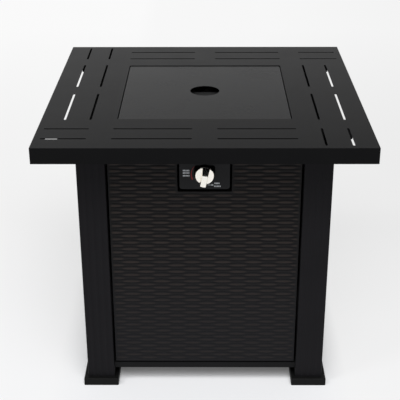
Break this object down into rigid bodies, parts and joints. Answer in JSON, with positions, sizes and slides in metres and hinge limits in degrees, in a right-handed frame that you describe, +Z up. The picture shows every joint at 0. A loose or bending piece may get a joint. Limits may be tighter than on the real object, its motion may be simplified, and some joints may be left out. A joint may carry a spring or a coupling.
{
  "type": "gas fire pit table",
  "caption": "Square gas fire pit table: slotted black steel top with lift-off lid, fluted posts, wicker-look panels, knob, hidden burner and tank door.",
  "frame": {"origin": "centre of the footprint, on the floor", "axes": "+Z up, -Y towards the side with the control panel, +X to the right of a person who faces that side"},
  "size_m": [0.711, 0.711, 0.635],
  "materials": {
    "top_paint": "fine-grained satin black powder coat",
    "post_paint": "satin black powder coat on a fluted tube",
    "frame_paint": "satin black powder coat",
    "wicker_panel": "black-brown sheet embossed as basket weave, satin",
    "foot_plastic": "moulded, fine texture",
    "control_paint": "smooth satin black with printed marks",
    "bezel_plastic": "gloss black",
    "knob_chrome": "bright satin chrome",
    "stem_steel": "turned",
    "valve_aluminium": "die cast",
    "fitting_brass": "turned brass",
    "pipe_aluminium": "drawn tube",
    "burner_steel": "stainless steel, heat tinted",
    "pan_steel": "heat-resistant black paint",
    "shield_steel": "aluminised sheet, dull",
    "igniter_plastic": "moulded",
    "lead_rubber": "silicone sleeve",
    "capillary_copper": "copper tube",
    "electrode_ceramic": "glazed ceramic",
    "lava_rock": "porous volcanic stone",
    "zinc_screws": "zinc plated",
    "black_screws": "black zinc",
    "spacer_plastic": "nylon",
    "magnet_plastic": "moulded housing with steel poles",
    "pull_paint": "satin black"
  },
  "bodies": {
    "table": {"tabletop": "top_paint", "top_bar_front": "frame_paint", "top_bar_back": "frame_paint", "top_rib_left": "frame_paint", "top_rib_right": "frame_paint", "post_front_left": "post_paint", "post_front_right": "post_paint", "post_back_left": "post_paint", "post_back_right": "post_paint", "foot_front_left": "foot_plastic", "foot_front_right": "foot_plastic", "foot_back_left": "foot_plastic", "foot_back_right": "foot_plastic", "upper_rail_front": "frame_paint", "upper_rail_right": "frame_paint", "upper_rail_back": "frame_paint", "upper_rail_left": "frame_paint", "front_panel": "wicker_panel", "right_panel": "wicker_panel", "left_panel": "wicker_panel", "base_tray": "frame_paint", "tank_ring": "frame_paint", "control_panel": "control_paint", "knob_bezel": "bezel_plastic", "stem_spring": "stem_steel", "valve_body": "valve_aluminium", "gas_inlet": "fitting_brass", "control_screws": "black_screws", "igniter_module": "igniter_plastic", "ignition_lead": "lead_rubber", "spark_electrode": "electrode_ceramic", "thermocouple": "capillary_copper", "thermocouple_lead": "capillary_copper", "pilot_bracket": "burner_steel", "fire_pan": "pan_steel", "pan_screws": "black_screws", "burner_ring": "burner_steel", "burner_jam_nut": "zinc_screws", "burner_elbow": "fitting_brass", "air_mixer": "burner_steel", "gas_orifice": "fitting_brass", "gas_pipe": "pipe_aluminium", "pipe_nuts": "fitting_brass", "heat_shield": "shield_steel", "lava_rocks": "lava_rock", "door_spacer": "spacer_plastic", "door_bracket": "frame_paint", "magnet_catch": "magnet_plastic", "post_bolts": "zinc_screws", "top_nuts": "zinc_screws", "panel_screws": "black_screws"},
    "lid": {"lid": "top_paint"},
    "knob_collar": {"stem_collar": "stem_steel"},
    "knob": {"control_knob": "knob_chrome", "valve_stem": "stem_steel"},
    "door": {"back_door": "wicker_panel", "door_pins": "zinc_screws", "door_pull": "pull_paint", "pull_screws": "black_screws"},
    "wing_screw": {"tank_wing_screw": "zinc_screws"}
  },
  "joints": [
    {"name": "lid_lift", "type": "slide", "parent": "table", "child": "lid", "axis": [0, 0, 1], "range_m": [0, 0.25]},
    {"name": "knob_push", "type": "slide", "parent": "table", "child": "knob_collar", "axis": [0, 1, 0], "range_m": [0, 0.0035], "stiffness_N_per_m": 1500, "springref_m": -0.002, "deforming": ["stem_spring"]},
    {"name": "knob_turn", "type": "hinge", "parent": "knob_collar", "child": "knob", "pos_m": [0, -0.2905, 0.542], "axis": [0, -1, 0], "range_deg": [0, 180]},
    {"name": "door_swing", "type": "hinge", "parent": "table", "child": "door", "pos_m": [-0.202, 0.261, 0.326], "axis": [0, 0, 1], "range_deg": [0, 100]},
    {"name": "wing_screw_travel", "type": "slide", "parent": "table", "child": "wing_screw", "axis": [0, 1, 0], "range_m": [-0.005, 0.01]}
  ]
}
